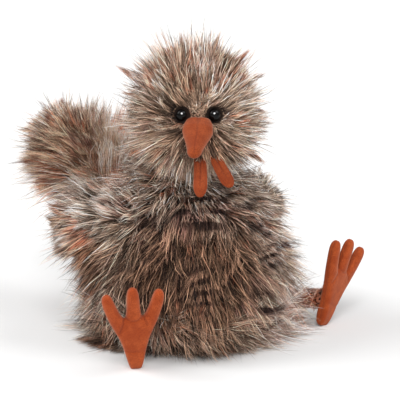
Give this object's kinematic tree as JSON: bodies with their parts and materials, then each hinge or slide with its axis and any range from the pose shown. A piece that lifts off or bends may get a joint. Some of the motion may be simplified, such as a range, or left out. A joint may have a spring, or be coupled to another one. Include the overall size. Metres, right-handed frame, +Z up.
{
  "type": "plush chicken toy",
  "caption": "Sitting long-pile plush hen, a soft toy with a stuffed beak, flat wattles, button eyes and three-toed feet out in front.",
  "frame": {"origin": "on the floor, under the middle of the whole toy's box", "axes": "+Z up; the body faces -Y and the toy's own left side is +X; the head is turned to its right"},
  "size_m": [0.2218, 0.2346, 0.2141],
  "materials": {
    "fur": "long brindled faux fur, dark at the roots and pale at the tips, with dark purple-brown bands and rust and peach patches",
    "suedette": "soft matt orange suedette",
    "eye": "polished black"
  },
  "bodies": {
    "root": {"torso": "fur", "head": "fur", "tail": "fur", "wing_left": "fur", "wing_right": "fur", "leg_left": "fur", "leg_right": "fur", "foot_left": "suedette", "foot_right": "suedette", "beak": "suedette", "wattle_left": "suedette", "wattle_right": "suedette", "eye_left": "eye", "eye_right": "eye"}
  },
  "joints": []
}
